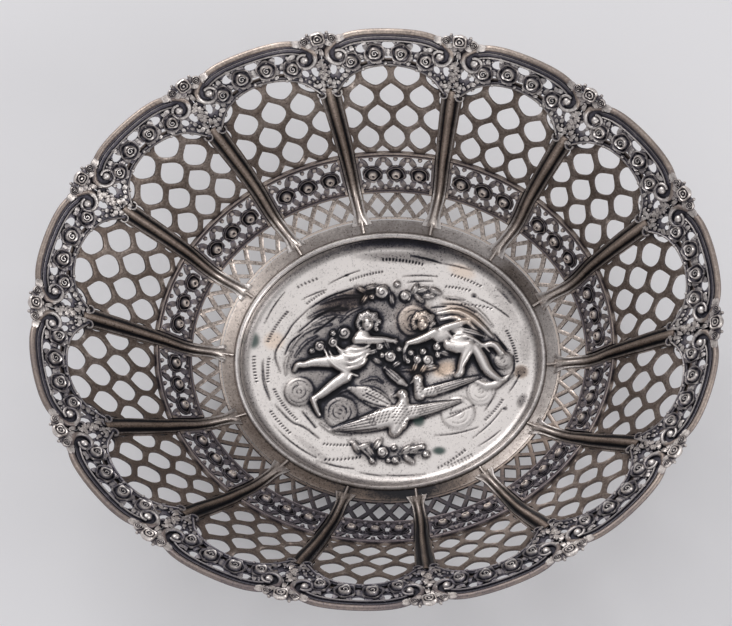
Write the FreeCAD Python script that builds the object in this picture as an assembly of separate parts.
import FreeCAD, Part
import math
import os

# Oval pierced fruit basket in silver.
# The frame has its origin on the table under the middle of the basket, +X along the
# longer side, +Y along the shorter side and +Z up. All lengths are in millimetres.
# A turn counts ribs round the oval: rib 0 is at the +X end, and panel 0 lies between
# ribs 0 and 1. A run is the way up the wall from the collar's outer edge, and a lift
# is the height over the wall's inner face, towards the fruit.

V = FreeCAD.Vector
os.makedirs("parts", exist_ok=True)

# Driving dimensions of the oval rings, each as half length, half width and height.
FLOOR_HALF_LENGTH = 59.3
FLOOR_HALF_WIDTH = 49.4
RIDGE_HALF_LENGTH = 64.3
RIDGE_HALF_WIDTH = 54.4
RIDGE_HEIGHT = 4.5
COLLAR_HALF_LENGTH = 70.8
COLLAR_HALF_WIDTH = 61.0
COLLAR_HEIGHT = 8.0
LATTICE_HALF_LENGTH = 82.8
LATTICE_HALF_WIDTH = 71.3
LATTICE_HEIGHT = 13.4
BAND_HALF_LENGTH = 94.8
BAND_HALF_WIDTH = 83.0
BAND_HEIGHT = 29.3
ARCH_HALF_LENGTH = 127.0
ARCH_HALF_WIDTH = 108.8
ARCH_HEIGHT = 67.5
RIM_HALF_LENGTH = 140.0
RIM_HALF_WIDTH = 121.2
RIM_HEIGHT = 78.5

# Sheet, joints and clearances.
SHEET = 1.0
PATCH_COLUMNS = 8
PATCH_ROWS = 14
SOLDER_GAP = 0.1
RIB_SEAT = 0.25
BAND_SEAT = 0.15
RIM_SEAT = 0.3
CLUSTER_SEAT = 0.5
PANEL_JOINT = 0.5
CASTING_JOINT = 0.3
SIDE_CLEARANCE = 0.35
CUT_OVERRUN = 3.0

# Ribs.
RIB_COUNT = 14
RIB_TURN_SHIFT_SHARE = 0.021
RIB_FOOT_HALF_WIDTH = 1.8
RIB_TOP_HALF_WIDTH = 3.2
RIB_FOOT_HEIGHT = 1.3
RIB_TOP_HEIGHT = 2.3
RIB_FLANGE = 0.5
RIB_TOP_RUN = 72.0
RIB_SECTIONS = 17

RIB_SECTION_SHARES = ((0.55, 0.0), (0.42, 0.8))

# Well moulding over the joint of pan and collar.
MOULDING_HALF_WIDTH = 1.3
MOULDING_HEIGHT = 1.4
COLLAR_LAP = 1.2

# Lattice next to the collar.
LATTICE_STRAND = 1.6
LATTICE_BORDER = 1.1

# Rose band.
BAND_MOULDING_WIDTH = 2.5
BAND_MOULDING_HEIGHT = 1.7
BAND_MOULDING_TOP_SHARE = 0.7
BAND_WEB = 0.8
BAND_SECTIONS = 7
BAND_WINDOW_MARGIN = 2.1
ROSETTE_RADIUS = 4.3
ROSETTE_HEIGHT = 1.5
ROSETTE_BUD_RADIUS = 2.2
ROSETTE_PLACE_SHARES = (-0.26, 0.0, 0.26)
BAND_OPENING_HALF_WIDTH = 1.7
BAND_OPENING_HALF_HEIGHT = 2.1
BAND_OPENING_OFFSET = 4.9
BAND_OPENING_PLACE_SHARES = (-0.13, 0.13)
BAND_SIDE_PLACE_SHARES = (-0.39, 0.39)
BAND_SIDE_HALF_HEIGHT = 4.2

# Net of the upper wall.
NET_STRAND = 2.5
NET_ROW_PITCH = 11.5
NET_TIP = 8.3
NET_START = 2.4
NET_ROWS = 5
NET_ROUND_SHARE = 0.7
NET_BORDER = 1.0
WINDOW_MARGIN = 0.5
LEAST_OPENING = 1.7

# Arch over each net and the rim casting.
ARCH_DROP = 13.0
ARCH_SPAN_SHARE = 0.83
ARCH_LEG_SHARE = 0.9
ARCH_MOULDING_WIDTH = 1.4
ARCH_MOULDING_HEIGHT = 1.8
ARCH_FOOT_SHARE = 1.2
ARCH_STEPS = 8
PANEL_LAP = 3.0
RIM_WEB = 1.2
RIM_DROP = 4.0
ROLL_RADIUS = 1.5
ROLL_DROP = 13.5
ROLL_END_SHARE = 0.84
ROLL_FADE_SHARE = 0.2
ROLL_SECTION_SHARES = ((-0.6, 0.5), (0.0, 0.75), (0.7, 0.4))
ROLL_BELLY_SHARE = 0.4
RIM_EDGE_SHARE = 0.7
LIP_WIDTH = 1.5
LIP_HEIGHT = 0.6
CHANNEL_WIDTH = 2.6
CHANNEL_DEPTH = 0.5
RIM_SECTIONS = 13
VOLUTE_RADIUS = 2.2
VOLUTE_PLACE_SHARE = 0.79
VOLUTE_INSET = 11.0
RIM_ROSE_RADIUS = 3.4
RIM_ROSE_HEIGHT = 1.2
RIM_BUD_RADIUS = 1.8
RIM_ROSE_PLACE_SHARES = ((-0.62, 0.5), (-0.2, 0.42), (0.2, 0.42), (0.62, 0.5))
RIM_OPENING_LARGE = 1.9
RIM_OPENING_SMALL = 1.1
RIM_OPENING_LONG_SHARE = 1.5
RIM_LARGE_PLACE_SHARES = ((0.0, 0.3), (-0.42, 0.42), (0.42, 0.42))
RIM_SMALL_PLACE_SHARES = ((0.0, 0.8), (-0.42, 0.8), (0.42, 0.8), (-0.78, 0.38), (0.78, 0.38))

# Rose cluster on the rim over each rib. Its cup, like those of the castings, narrows upwards.
ROSE_TOP_SHARE = 0.82
ROSE_RUN_OVER = 1.3
ROSE_RADIUS = 2.9
ROSE_HEIGHT = 2.6
SIDE_BUD_RADIUS = 1.7
SIDE_BUD_OFFSET = 6.2
LEAF_THICKNESS = 1.1
SPRAY_HALF_WIDTH = 7.4
SPRAY_HALF_RUN = 2.0
SPRAY_INSET = 2.2
TAIL_HALF_WIDTH = 2.5
TAIL_HALF_RUN = 6.0
TAIL_INSET = 8.6
TAIL_BUD_RADIUS = 1.4

# Relief pressed into the dish's floor. A form is a share of the relief's height, then its
# places, as shares of the floor's half length and half width and of the limb's half width.
RELIEF_HEIGHT = 2.5
LIMB_HALF_WIDTH = 4.0
RELIEF_SECTION_SHARES = ((1.0, 0.0), (0.8, 0.6), (0.38, 0.96))
KNOB_SIDES = 9
KNOB_TURN_SHARE = 0.3
KNOB_OVER_SHARE = 1.08
LEFT_CHILD_SHARES = (
    (1.12, (-0.18, 0.34, 1.0)),
    (1.0, (-0.20, 0.20, 1.0), (-0.31, 0.05, 1.25)),
    (0.92, (-0.21, 0.22, 0.65), (-0.05, 0.21, 0.45)),
    (0.95, (-0.35, 0.03, 1.0), (-0.57, -0.03, 0.65), (-0.68, -0.04, 0.5)),
    (1.0, (-0.27, -0.03, 1.0), (-0.42, -0.26, 0.65), (-0.51, -0.36, 0.5)),
    (0.7, (-0.51, -0.36, 0.5), (-0.49, -0.47, 0.4)),
    (0.6, (-0.32, 0.24, 1.1), (-0.47, 0.35, 0.7)),
)
RIGHT_CHILD_SHARES = (
    (1.12, (0.22, 0.35, 0.98)),
    (1.0, (0.31, 0.25, 0.95), (0.47, 0.23, 1.05)),
    (0.92, (0.30, 0.24, 0.6), (0.13, 0.16, 0.4)),
    (0.98, (0.38, 0.31, 0.6), (0.53, 0.31, 0.45)),
    (1.0, (0.47, 0.20, 1.0), (0.57, 0.14, 0.8), (0.51, -0.05, 0.5)),
    (0.9, (0.57, 0.20, 0.75), (0.70, 0.0, 0.6), (0.77, -0.12, 0.45)),
    (0.6, (0.42, 0.33, 0.9), (0.61, 0.38, 0.8)),
)
DOVE_SHARES = (
    (1.0, (-0.05, -0.50, 0.9), (0.13, -0.41, 1.0)),
    (1.0, (0.10, -0.36, 0.7), (0.105, -0.27, 0.62)),
    (0.68, (0.06, -0.44, 1.0), (-0.32, -0.62, 0.9)),
    (0.72, (0.12, -0.41, 1.0), (0.44, -0.36, 1.0)),
    (0.55, (0.04, -0.53, 0.8), (0.02, -0.67, 0.9)),
    (0.85, (0.20, -0.15, 0.62), (0.14, -0.33, 0.85)),
    (0.6, (0.22, -0.23, 0.7), (0.58, -0.13, 0.8)),
    (0.5, (0.17, -0.27, 0.7), (-0.15, -0.31, 0.9)),
)
GARLAND_SHARES = (
    (0.85, (-0.01, 0.07, 0.7)),
    (0.8, (0.06, 0.11, 0.45), (0.11, 0.06, 0.45)),
    (0.85, (0.17, 0.03, 0.6)),
    (0.85, (0.28, 0.12, 0.65)),
    (0.7, (-0.08, 0.63, 0.7)),
    (0.7, (0.08, 0.61, 0.65)),
    (0.6, (0.12, -0.84, 0.5)),
    (0.6, (0.05, -0.74, 0.45)),
)
CLOUD_SHARES = (
    (0.6, (-0.66, -0.28, 1.6)),
    (0.56, (-0.35, -0.46, 1.8)),
    (0.48, (0.78, 0.03, 1.2)),
    (0.34, (0.48, -0.43, 1.7)),
    (0.36, (0.68, -0.24, 1.4)),
)

RINGS = (
    (RIDGE_HALF_LENGTH, RIDGE_HALF_WIDTH, RIDGE_HEIGHT),
    (COLLAR_HALF_LENGTH, COLLAR_HALF_WIDTH, COLLAR_HEIGHT),
    (LATTICE_HALF_LENGTH, LATTICE_HALF_WIDTH, LATTICE_HEIGHT),
    (BAND_HALF_LENGTH, BAND_HALF_WIDTH, BAND_HEIGHT),
    (ARCH_HALF_LENGTH, ARCH_HALF_WIDTH, ARCH_HEIGHT),
    (RIM_HALF_LENGTH, RIM_HALF_WIDTH, RIM_HEIGHT),
)
COLLAR_RING = 1


def ring_runs():
    """Run of each ring along the mean wall, with the collar's outer edge at zero."""
    runs = [0.0]
    for low, high in zip(RINGS[:-1], RINGS[1:]):
        out = (high[0] - low[0] + high[1] - low[1]) / 2
        runs.append(runs[-1] + math.hypot(out, high[2] - low[2]))
    return [run - runs[COLLAR_RING] for run in runs]


RUNS = ring_runs()
RIDGE_RUN, COLLAR_RUN, LATTICE_RUN, BAND_RUN, ARCH_RUN, RIM_RUN = RUNS
COLLAR_STRETCH = (COLLAR_RUN - RIDGE_RUN) / (COLLAR_HALF_LENGTH - RIDGE_HALF_LENGTH)
RIB_FOOT_RUN = RIDGE_RUN + (MOULDING_HALF_WIDTH + SHEET / 2) * COLLAR_STRETCH + SIDE_CLEARANCE


def slopes_of(values):
    """Slope of a smooth curve through the rings' values, at each ring."""
    steps = [(b - a) / (s - r) for a, b, r, s in zip(values[:-1], values[1:], RUNS[:-1], RUNS[1:])]
    slopes = [steps[0]]
    for before, after, low, mid, high in zip(steps[:-1], steps[1:], RUNS[:-2], RUNS[1:-1], RUNS[2:]):
        slopes.append((before * (high - mid) + after * (mid - low)) / (high - low))
    return slopes + [steps[-1]]


CURVES = [(values, slopes_of(values)) for values in zip(*RINGS)]


def ring_at(run):
    """Half length, half width and height of the wall's inner face at a run, with their slopes."""
    span = 0
    while span < len(RUNS) - 2 and run > RUNS[span + 1]:
        span += 1
    low, high = RUNS[span], RUNS[span + 1]
    length = high - low
    share = (run - low) / length
    places, slopes = [], []
    for values, tangents in CURVES:
        a, b = values[span], values[span + 1]
        p, q = tangents[span] * length, tangents[span + 1] * length
        if share < 0 or share > 1:
            end = min(max(share, 0), 1)
            slope = q if end else p
            places.append((b if end else a) + slope * (share - end))
            slopes.append(slope / length)
            continue
        cubic, square = 2 * (a - b) + p + q, 3 * (b - a) - 2 * p - q
        places.append(((cubic * share + square) * share + p) * share + a)
        slopes.append(((3 * cubic * share + 2 * square) * share + p) / length)
    return places, slopes


def angle_at(turn):
    around = 2 * math.pi * turn / RIB_COUNT
    return around + RIB_TURN_SHIFT_SHARE * math.sin(2 * around)


def wall_frame(turn, run):
    """Place on the wall's inner face with its directions round, up the wall and inwards."""
    (a, b, z), (da, db, dz) = ring_at(run)
    t = angle_at(turn)
    c, s = math.cos(t), math.sin(t)
    place = V(a * c, b * s, z)
    around = V(-a * s, b * c, 0).normalize()
    upward = V(da * c, db * s, dz).normalize()
    inward = upward.cross(around).normalize()
    upward = around.cross(inward).normalize()
    return place, around, upward, inward


def wall_point(turn, run, lift=0.0):
    place, around, upward, inward = wall_frame(turn, run)
    return place + inward * lift


def spacing_at(run):
    """Mean distance from rib to rib at a run."""
    (a, b, z), slopes = ring_at(run)
    bulge = ((a - b) / (a + b)) ** 2
    return math.pi * (a + b) * (1 + bulge / 4) / RIB_COUNT


def turn_by(turn, run, offset):
    """Turn at an offset in millimetres round the wall from another turn."""
    low, high = wall_point(turn - 0.5, run), wall_point(turn + 0.5, run)
    return turn + offset / (high - low).Length


def rib_half_width(run):
    share = (run - RIB_FOOT_RUN) / (RIB_TOP_RUN - RIB_FOOT_RUN)
    return RIB_FOOT_HALF_WIDTH + (RIB_TOP_HALF_WIDTH - RIB_FOOT_HALF_WIDTH) * share


def spaced(low, high, count):
    return [low + (high - low) * step / (count - 1) for step in range(count)]


def mirrored(shape, over_x, over_y):
    """Copy of a shape reflected in X, in Y or in both."""
    if over_x:
        shape = shape.mirror(V(0, 0, 0), V(1, 0, 0))
    if over_y:
        shape = shape.mirror(V(0, 0, 0), V(0, 1, 0))
    return shape


def one_solid(shape):
    """The shape's solid, facing outwards."""
    solid = shape.Solids[0] if shape.Solids else Part.Solid(shape.Shells[0])
    if solid.Volume < 0:
        solid.reverse()
    return solid


def oval(half_length, half_width, height):
    curve = Part.Ellipse(V(0, 0, height), half_length, half_width)
    return Part.Wire(curve.toShape())


def ring_solid(corners):
    """Closed ring whose section has the given corners, each a half length, half width and height."""
    ovals = [oval(*corner) for corner in corners]
    faces = []
    for low, high in zip(ovals, ovals[1:] + ovals[:1]):
        faces += Part.makeLoft([low, high], False, True).Faces
    shell = Part.makeCompound(faces)
    shell.sewShape()
    return one_solid(shell)


def section_across(turn, corners):
    """Flat wire that cuts the wall at one turn, through corners given as run and lift."""
    middle = sum(run for run, lift in corners) / len(corners)
    place, around, upward, inward = wall_frame(turn, middle)
    points = []
    for run, lift in corners:
        point = wall_point(turn, run, lift)
        points.append(point - around * (point - place).dot(around))
    return Part.makePolygon(points + points[:1])


def section_along(turn, run, corners):
    """Flat wire square to the run, through corners given as offset round the wall and lift."""
    place, around, upward, inward = wall_frame(turn, run)
    points = [place + around * offset + inward * lift for offset, lift in corners]
    return Part.makePolygon(points + points[:1])


def prism(turn, run, outline, low, high):
    """Straight prism square to the wall over an outline of points and arcs.

    The outline lists places as turn and run. An entry of three places is an arc.
    """
    place, around, upward, inward = wall_frame(turn, run)

    def flat(spot):
        point = wall_point(*spot)
        return point - inward * ((point - place).dot(inward) - low)

    edges = []
    for piece in outline:
        points = [flat(spot) for spot in piece]
        if len(points) == 3:
            edges.append(Part.Arc(*points).toShape())
        else:
            edges.append(Part.LineSegment(*points).toShape())
    return Part.Face(Part.Wire(edges)).extrude(inward * (high - low))


def through(turn, run, outline):
    return prism(turn, run, outline, -SHEET - CUT_OVERRUN, SHEET + CUT_OVERRUN)


def lines_round(spots):
    return list(zip(spots, spots[1:] + spots[:1]))


def oval_post(turn, run, half_width, half_run, low, high):
    """Upright post with an oval section, on the wall at a turn and run."""
    place, around, upward, inward = wall_frame(turn, run)
    long_way, short_way = (around, half_width), (upward, half_run)
    if half_run > half_width:
        long_way, short_way = short_way, long_way
    foot = place + inward * low
    curve = Part.Ellipse(foot + long_way[0] * long_way[1], foot + short_way[0] * short_way[1], foot)
    return Part.Face(Part.Wire(curve.toShape())).extrude(inward * (high - low))


def rose(turn, run, seat, radius, height, bud_radius):
    """Simple open rose: a flaring cup with a round bud in it."""
    place, around, upward, inward = wall_frame(turn, run)
    foot = place + inward * seat
    cup = Part.makeCone(radius, radius * ROSE_TOP_SHARE, height, foot, inward)
    bud = Part.makeSphere(bud_radius, foot + inward * height, inward)
    return cup.fuse(bud)


def faceted(rings):
    """Closed solid with flat faces between rings of as many corners each, and its two ends."""
    faces = [Part.Face(Part.makePolygon(ring + ring[:1])) for ring in (rings[0], rings[-1])]
    for low, high in zip(rings[:-1], rings[1:]):
        for a, b, c, d in zip(low, low[1:] + low[:1], high[1:] + high[:1], high):
            faces.append(Part.Face(Part.makePolygon([a, b, c, d, a])))
    shell = Part.makeCompound(faces)
    shell.sewShape()
    return one_solid(shell)


def knob(foot, half_width, height):
    """Low rounded mound on the relief's foot."""
    rings = []
    for reach_share, height_share in RELIEF_SECTION_SHARES:
        ring = []
        for step in range(KNOB_SIDES):
            lean = 2 * math.pi * (step + KNOB_TURN_SHARE) / KNOB_SIDES
            ring.append(foot + V(math.cos(lean), math.sin(lean), 0) * (half_width * reach_share)
                        + V(0, 0, height * height_share))
        rings.append(ring)
    return faceted(rings)


def limb(ends):
    """Tapered bar with a rounded back between two ends, each a foot, half width and height."""
    side = V(0, 0, 1).cross(ends[1][0] - ends[0][0]).normalize()
    rings = []
    for foot, half_width, height in ends:
        right, left = [], []
        for reach_share, height_share in RELIEF_SECTION_SHARES:
            top = foot + V(0, 0, height * height_share)
            right.append(top + side * (half_width * reach_share))
            left.append(top - side * (half_width * reach_share))
        rings.append(right + left[::-1])
    return faceted(rings)


def relief_form(height_share, *places):
    """Solids of one form: a knob at each place and a limb from each place to the next."""
    full = SHEET / 2 + RELIEF_HEIGHT * height_share
    widest = max(width_share for x_share, y_share, width_share in places)
    spots = []
    for x_share, y_share, width_share in places:
        foot = V(FLOOR_HALF_LENGTH * x_share, FLOOR_HALF_WIDTH * y_share, SHEET / 2)
        spots.append((foot, LIMB_HALF_WIDTH * width_share, full * width_share / widest))
    knobs = [knob(foot, half * KNOB_OVER_SHARE, height * KNOB_OVER_SHARE) for foot, half, height in spots]
    return knobs + [limb(ends) for ends in zip(spots[:-1], spots[1:])]


def base_pan():
    """Raised dish with a flat floor and a quarter-round wall up to the ridge.

    The figures stand on the floor as solid forms, with their feet half the sheet deep.
    """
    steps = 4
    outer, inner = [], []
    for step in range(steps + 1):
        lean = math.pi / 2 * step / steps
        out, up = math.sin(lean), 1 - math.cos(lean)
        a = FLOOR_HALF_LENGTH + (RIDGE_HALF_LENGTH - FLOOR_HALF_LENGTH) * out
        b = FLOOR_HALF_WIDTH + (RIDGE_HALF_WIDTH - FLOOR_HALF_WIDTH) * out
        z = RIDGE_HEIGHT * up
        outer.append(oval(a, b, z))
        inner.append(oval(a - SHEET * out, b - SHEET * out, z + SHEET * (1 - up)))
    dish = Part.makeLoft(outer, True, True)
    hollow = Part.makeLoft(inner, True, True)
    figures = []
    for forms in (LEFT_CHILD_SHARES, RIGHT_CHILD_SHARES, DOVE_SHARES, GARLAND_SHARES, CLOUD_SHARES):
        solids = [solid for form in forms for solid in relief_form(*form)]
        figures += solids[0].fuse(solids[1:]).Solids
    return one_solid(dish.cut(hollow).fuse(figures))


def beyond_ridge(offset, rise):
    return RIDGE_HALF_LENGTH + offset, RIDGE_HALF_WIDTH + offset, RIDGE_HEIGHT + rise


def collar():
    """Plain sloping ring from the ridge to the pierced wall."""
    corners = []
    for run, lift in (
        (RIDGE_RUN + COLLAR_LAP, 0.0),
        (-SOLDER_GAP, 0.0),
        (-SOLDER_GAP, -SHEET),
        (RIDGE_RUN + COLLAR_LAP, -SHEET),
    ):
        end, side = wall_point(0, run, lift), wall_point(RIB_COUNT / 4, run, lift)
        corners.append((end.x, side.y, (end.z + side.z) / 2))
    return ring_solid(corners)


def well_moulding():
    """Half-round moulding that covers the joint of pan and collar."""
    climb = (COLLAR_HEIGHT - RIDGE_HEIGHT) / (COLLAR_HALF_LENGTH - RIDGE_HALF_LENGTH)
    outer = MOULDING_HALF_WIDTH + SHEET / 2
    inner = -MOULDING_HALF_WIDTH + SHEET / 2
    corners = [beyond_ridge(inner, SOLDER_GAP), beyond_ridge(0, SOLDER_GAP)]
    corners.append(beyond_ridge(outer, outer * climb + SOLDER_GAP * 2))
    steps = 5
    for step in range(1, steps):
        lean = math.pi * step / steps
        middle, reach = (outer + inner) / 2, (outer - inner) / 2
        foot = max(middle + reach * math.cos(lean), 0) * climb
        corners.append(beyond_ridge(middle + reach * math.cos(lean),
                                    SOLDER_GAP * 2 + foot + MOULDING_HEIGHT * math.sin(lean)))
    return ring_solid(corners)


def arch_run(share):
    """Run of the arch's inner edge at a share of the half panel: an ellipse with straight legs."""
    reach = abs(share) / ARCH_SPAN_SHARE
    curved = min(reach, ARCH_LEG_SHARE)
    rise = math.sqrt(1 - curved ** 2)
    return ARCH_RUN - ARCH_DROP * (1 - rise + (reach - curved) * curved / rise)


def turn_share(turn, middle):
    return (turn - middle) * 2


def sheet_patch(low_turn, high_turn, top):
    """Curved sheet between two turns, from the collar up to a top run that may vary."""
    turns = spaced(low_turn, high_turn, PATCH_COLUMNS)
    grids = []
    for lift in (0.0, -SHEET):
        grid = []
        for turn in turns:
            grid.append([wall_point(turn, run, lift) for run in spaced(0.0, top(turn), PATCH_ROWS)])
        grids.append(grid)
    surfaces = []
    for grid in grids:
        surface = Part.BSplineSurface()
        surface.interpolate(grid)
        surfaces.append(surface)
    front, back = surfaces
    faces = [front.toShape(), back.toShape()]
    for curve_of in (
        lambda s: s.uIso(s.bounds()[0]),
        lambda s: s.uIso(s.bounds()[1]),
        lambda s: s.vIso(s.bounds()[2]),
        lambda s: s.vIso(s.bounds()[3]),
    ):
        faces.append(Part.makeRuledSurface(curve_of(front).toShape(), curve_of(back).toShape()))
    shell = Part.makeCompound(faces)
    shell.sewShape()
    return one_solid(shell)


def net_window(middle):
    """Opening under the arch, as one prism between the ribs."""
    low = BAND_RUN + NET_BORDER
    spring = ARCH_RUN - ARCH_DROP
    sides = []
    for run in (low, (low + spring) / 2, spring):
        half = spacing_at(run) / 2 - rib_half_width(run) - WINDOW_MARGIN
        sides.append((half / spacing_at(run), run))
    reach = sides[-1][0] * 2
    heights = []
    for step in range(1, ARCH_STEPS):
        lean = math.pi * step / ARCH_STEPS
        share = reach * math.cos(lean)
        rise = math.sin(lean) * ARCH_DROP
        heights.append((middle + share / 2, spring + rise))
    spots = [(middle + offset, run) for offset, run in sides]
    spots += heights
    spots += [(middle - offset, run) for offset, run in reversed(sides)]
    centre = (low + ARCH_RUN) / 2
    return through(middle, centre, lines_round(spots))


def net_cell(middle, run):
    """Opening of the net: pointed towards the rim, rounded towards the well."""
    half = spacing_at(run) / 8
    side = NET_ROW_PITCH - NET_TIP
    slant = math.hypot(half, NET_TIP - side)
    tip = NET_TIP - NET_STRAND / 2 * slant / half
    width = half - NET_STRAND / 2
    edge = side + (NET_TIP - side) * (NET_STRAND / 2) / half - (NET_TIP - tip)
    reach = width / spacing_at(run)
    right, left = middle + reach, middle - reach
    bottom = run - edge - width * NET_ROUND_SHARE
    outline = [
        ((right, run - edge), (right, run + edge)),
        ((right, run + edge), (middle, run + tip)),
        ((middle, run + tip), (left, run + edge)),
        ((left, run + edge), (left, run - edge)),
        ((left, run - edge), (middle, bottom), (right, run - edge)),
    ]
    return through(middle, run, outline)


def net_openings(middle):
    window = net_window(middle)
    openings = []
    for row in range(NET_ROWS):
        run = BAND_RUN - NET_START + row * NET_ROW_PITCH
        columns = (-2, -1, 0, 1, 2) if row % 2 else (-1.5, -0.5, 0.5, 1.5)
        for column in columns:
            cell = net_cell(middle + column / 4, run).common(window)
            least = LEAST_OPENING ** 2 * 2 * (SHEET + CUT_OVERRUN)
            openings += [piece for piece in cell.Solids if piece.Volume > least]
    return openings


def lattice_openings(middle):
    """Diamonds between the crossing strands, with half ones at both edges."""
    centre = LATTICE_RUN / 2
    high = centre - LATTICE_BORDER
    half = spacing_at(centre) / 8
    slant = math.hypot(half, high)
    tall = high - LATTICE_STRAND / 2 * slant / half
    wide = (half - LATTICE_STRAND / 2 * slant / high) / spacing_at(centre)
    apex = high - tall
    base = high - LATTICE_STRAND / 4
    foot = (base - apex) * half / high / spacing_at(centre)
    openings = []
    for column in (-1, 0, 1):
        turn = middle + column / 4
        spots = [(turn + wide, centre), (turn, centre + tall), (turn - wide, centre), (turn, centre - tall)]
        openings.append(through(turn, centre, lines_round(spots)))
    for column in (-1.5, -0.5, 0.5, 1.5):
        turn = middle + column / 4
        for way in (-1, 1):
            spots = [(turn - foot, centre + way * base), (turn + foot, centre + way * base)]
            spots.append((turn, centre + way * apex))
            openings.append(through(turn, centre, lines_round(spots)))
    return openings


def band_window(middle):
    low, high = LATTICE_RUN + BAND_WINDOW_MARGIN, BAND_RUN - BAND_WINDOW_MARGIN
    spots = []
    for run, way in ((low, -1), (low, 1), (high, 1), (high, -1)):
        half = spacing_at(run) / 2 - rib_half_width(run) - WINDOW_MARGIN
        spots.append((middle + way * half / spacing_at(run), run))
    return through(middle, (low + high) / 2, lines_round(spots))


def panel(number):
    """Pierced wall panel: lattice, window behind the roses and net under the arch."""
    middle = number + 0.5
    gap = PANEL_JOINT / 2 / spacing_at(ARCH_RUN)

    def top(turn):
        return ARCH_RUN + PANEL_LAP - ARCH_DROP * turn_share(turn, middle) ** 2

    sheet = sheet_patch(number + gap, number + 1 - gap, top)
    openings = lattice_openings(middle) + [band_window(middle)] + net_openings(middle)
    return one_solid(sheet.cut(Part.makeCompound(openings)))


def rib(number):
    """Moulded rib over the joint of two panels, from the collar up to the rim."""
    sections = []
    for run in spaced(RIB_FOOT_RUN, RIB_TOP_RUN, RIB_SECTIONS):
        half = rib_half_width(run)
        share = (half - RIB_FOOT_HALF_WIDTH) / (RIB_TOP_HALF_WIDTH - RIB_FOOT_HALF_WIDTH)
        height = RIB_FOOT_HEIGHT + (RIB_TOP_HEIGHT - RIB_FOOT_HEIGHT) * share
        flange = RIB_SEAT + RIB_FLANGE
        right = [(half, RIB_SEAT), (half, flange)]
        for side_share, height_share in RIB_SECTION_SHARES:
            right.append((half * side_share, max(flange, height * height_share)))
        left = [(-offset, lift) for offset, lift in reversed(right)]
        sections.append(section_along(number, run, right + [(0, height)] + left))
    return one_solid(Part.makeLoft(sections, True, False))


def rose_band(number):
    """Cast band between two mouldings, with open roses in a row."""
    middle = number + 0.5
    low, high = LATTICE_RUN, BAND_RUN + NET_BORDER
    web, top = BAND_SEAT + BAND_WEB, BAND_SEAT + BAND_MOULDING_HEIGHT
    width = BAND_MOULDING_WIDTH
    crest = width * BAND_MOULDING_TOP_SHARE
    corners = [
        (low, BAND_SEAT), (low, top), (low + crest, top), (low + width, web),
        (high - width, web), (high - crest, top), (high, top), (high, BAND_SEAT),
        ((low + high) / 2, BAND_SEAT),
    ]
    side = rib_half_width(high) + SIDE_CLEARANCE
    ends = turn_by(number, low, side), turn_by(number + 1, low, -side)
    sections = [section_across(turn, corners) for turn in spaced(*ends, BAND_SECTIONS)]
    casting = one_solid(Part.makeLoft(sections, True, False))
    centre = (low + high) / 2
    openings = []
    for share in BAND_OPENING_PLACE_SHARES:
        for way in (-1, 1):
            run = centre + way * BAND_OPENING_OFFSET
            openings.append(oval_post(middle + share, run, BAND_OPENING_HALF_WIDTH,
                                      BAND_OPENING_HALF_HEIGHT, -CUT_OVERRUN, CUT_OVERRUN + web))
    for share in BAND_SIDE_PLACE_SHARES:
        openings.append(oval_post(middle + share, centre, BAND_OPENING_HALF_WIDTH,
                                  BAND_SIDE_HALF_HEIGHT, -CUT_OVERRUN, CUT_OVERRUN + web))
    casting = casting.cut(Part.makeCompound(openings))
    roses = [rose(middle + share, centre, web - BAND_WEB / 2, ROSETTE_RADIUS, ROSETTE_HEIGHT,
                  ROSETTE_BUD_RADIUS) for share in ROSETTE_PLACE_SHARES]
    return one_solid(casting.fuse(roses))


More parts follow.
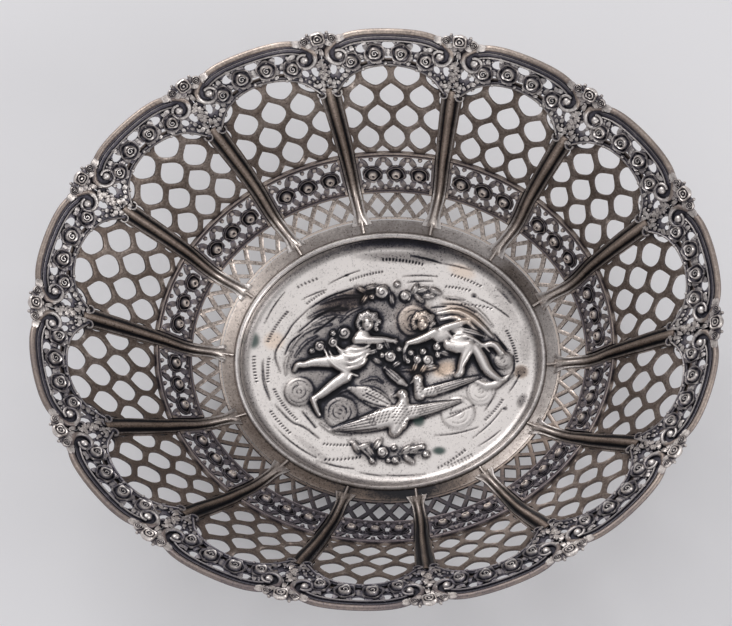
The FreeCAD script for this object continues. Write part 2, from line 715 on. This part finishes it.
def rim_scroll(number):
    """Cast rim section: arch moulding, openwork with roses, channel and outer roll."""
    middle = number + 0.5
    gap = CASTING_JOINT / 2 / spacing_at(RIM_RUN)
    base, web = RIM_SEAT, RIM_SEAT + RIM_WEB
    sections = []
    for turn in spaced(number + gap, number + 1 - gap, RIM_SECTIONS):
        share = abs(turn_share(turn, middle))
        inner = arch_run(share)
        roll = RIM_RUN - ROLL_RADIUS - ROLL_DROP * share ** 4
        outer = max(RIM_RUN - RIM_DROP * share ** 2, roll + ROLL_RADIUS)
        fade = min(max((ROLL_END_SHARE - share) / (ROLL_END_SHARE * ROLL_FADE_SHARE), 0), 1)
        bump = ROLL_RADIUS * fade
        lip = LIP_HEIGHT * fade
        dip = CHANNEL_DEPTH * fade
        lip_run = roll - ROLL_RADIUS - CHANNEL_WIDTH - LIP_WIDTH
        arch_top = base + ARCH_MOULDING_HEIGHT
        corners = [
            (inner, base),
            (inner, arch_top),
            (inner + ARCH_MOULDING_WIDTH, arch_top),
            (inner + ARCH_MOULDING_WIDTH * ARCH_FOOT_SHARE, web),
            (lip_run, web),
            (lip_run + LIP_WIDTH / 2, web + lip),
            (lip_run + LIP_WIDTH, web - dip),
            (roll - ROLL_RADIUS, web - dip),
        ]
        corners += [(roll + ROLL_RADIUS * side_share, web + bump * height_share)
                    for side_share, height_share in ROLL_SECTION_SHARES]
        corners += [
            (outer, base + RIM_WEB * RIM_EDGE_SHARE),
            (outer, base),
            (roll, base - bump * ROLL_BELLY_SHARE),
            (roll - ROLL_RADIUS, base),
        ]
        corners += [(run, base) for run in spaced(roll - ROLL_RADIUS, inner, 5)[1:-1]]
        sections.append(section_across(turn, corners))
    casting = one_solid(Part.makeLoft(sections, True, False))

    def web_place(share, height_share):
        low = arch_run(share) + ARCH_MOULDING_WIDTH
        roll = RIM_RUN - ROLL_RADIUS - ROLL_DROP * share ** 4
        high = roll - ROLL_RADIUS - CHANNEL_WIDTH - LIP_WIDTH
        return middle + share / 2, low + (high - low) * height_share

    cuts = []
    for places, size in ((RIM_LARGE_PLACE_SHARES, RIM_OPENING_LARGE),
                         (RIM_SMALL_PLACE_SHARES, RIM_OPENING_SMALL)):
        for share, height_share in places:
            turn, run = web_place(share, height_share)
            cuts.append(oval_post(turn, run, size, size * RIM_OPENING_LONG_SHARE,
                                  -CUT_OVERRUN, CUT_OVERRUN + web))
    for turn in (number, number + 1):
        half = RIB_TOP_HALF_WIDTH + SIDE_CLEARANCE
        high = RIB_TOP_RUN + SIDE_CLEARANCE
        low = ARCH_RUN - ARCH_DROP - CUT_OVERRUN * 2
        spots = []
        for run, way in ((low, -1), (low, 1), (high, 1), (high, -1)):
            spots.append((turn_by(turn, run, way * half), run))
        cuts.append(prism(turn, (low + high) / 2, lines_round(spots), -CUT_OVERRUN, CUT_OVERRUN))
    casting = casting.cut(Part.makeCompound(cuts))
    ornaments = []
    for share, height_share in RIM_ROSE_PLACE_SHARES:
        turn, run = web_place(share, height_share)
        ornaments.append(rose(turn, run, web - RIM_WEB / 2, RIM_ROSE_RADIUS, RIM_ROSE_HEIGHT,
                              RIM_BUD_RADIUS))
    for way in (-1, 1):
        turn = middle + way * VOLUTE_PLACE_SHARE / 2
        place, around, upward, inward = wall_frame(turn, RIM_RUN - VOLUTE_INSET)
        ornaments.append(Part.makeSphere(VOLUTE_RADIUS, place + inward * web, inward))
    return one_solid(casting.fuse(ornaments))


def rose_cluster(number):
    """Rose with buds and leaves on the rim, over the joint of two rim castings."""
    seat = RIM_SEAT + RIM_WEB + CLUSTER_SEAT
    top = seat + LEAF_THICKNESS
    spray_run = RIM_RUN - SPRAY_INSET
    cluster = oval_post(number, spray_run, SPRAY_HALF_WIDTH, SPRAY_HALF_RUN, seat, top)
    tail_run = RIM_RUN - TAIL_INSET
    cluster = cluster.fuse(oval_post(number, tail_run, TAIL_HALF_WIDTH, TAIL_HALF_RUN, seat, top))
    rose_run = RIM_RUN - ROSE_RUN_OVER
    place, around, upward, inward = wall_frame(number, rose_run)
    cup = Part.makeCone(ROSE_RADIUS * ROSE_TOP_SHARE, ROSE_RADIUS, ROSE_HEIGHT / 2,
                        place + inward * seat, inward)
    crown = Part.makeCone(ROSE_RADIUS, ROSE_RADIUS * ROSE_TOP_SHARE, ROSE_HEIGHT / 2,
                          place + inward * (seat + ROSE_HEIGHT / 2), inward)
    bud = Part.makeSphere(ROSE_RADIUS / 2, place + inward * (seat + ROSE_HEIGHT), inward)
    cluster = cluster.fuse([cup, crown, bud])
    for way in (-1, 1):
        turn = turn_by(number, spray_run, way * SIDE_BUD_OFFSET)
        centre = wall_point(turn, spray_run, seat + SIDE_BUD_RADIUS)
        cluster = cluster.fuse(Part.makeSphere(SIDE_BUD_RADIUS, centre))
    tail_end = tail_run - TAIL_HALF_RUN + TAIL_BUD_RADIUS
    centre = wall_point(number, tail_end, seat + TAIL_BUD_RADIUS)
    return one_solid(cluster.fuse(Part.makeSphere(TAIL_BUD_RADIUS, centre)))


def save(name, shape):
    shape.exportStep("parts/" + name + ".step")
    print(name, "holds", len(shape.Solids), "closed piece or pieces")


def all_round(build, quarter, half_turns):
    """One shape for each place round the oval, from the places of one quarter by mirroring."""
    made = {}
    for number in quarter:
        shape = build(number)
        if not shape.isValid():
            print("not valid:", build.__name__, number)
        for over_x in (False, True):
            for over_y in (False, True):
                place = half_turns(number, over_x, over_y)
                if place not in made:
                    made[place] = mirrored(shape, over_x, over_y)
    return [made[number] for number in range(RIB_COUNT)]


def panel_place(number, over_x, over_y):
    if over_x:
        number = RIB_COUNT // 2 - 1 - number
    if over_y:
        number = RIB_COUNT - 1 - number
    return number % RIB_COUNT


def rib_place(number, over_x, over_y):
    if over_x:
        number = RIB_COUNT // 2 - number
    if over_y:
        number = RIB_COUNT - number
    return number % RIB_COUNT


def main():
    save("base_pan", base_pan())
    save("collar", collar())
    save("well_moulding", well_moulding())
    quarter = range((RIB_COUNT // 2 + 1) // 2)
    for name, build in (("panel", panel), ("rose_band", rose_band), ("rim_scroll", rim_scroll)):
        for number, shape in enumerate(all_round(build, quarter, panel_place)):
            save("%s_%02d" % (name, number + 1), shape)
    for number, shape in enumerate(all_round(rib, quarter, rib_place)):
        save("rib_%02d" % (number + 1), shape)
    save("rim_rose_clusters", Part.makeCompound(all_round(rose_cluster, quarter, rib_place)))


main()
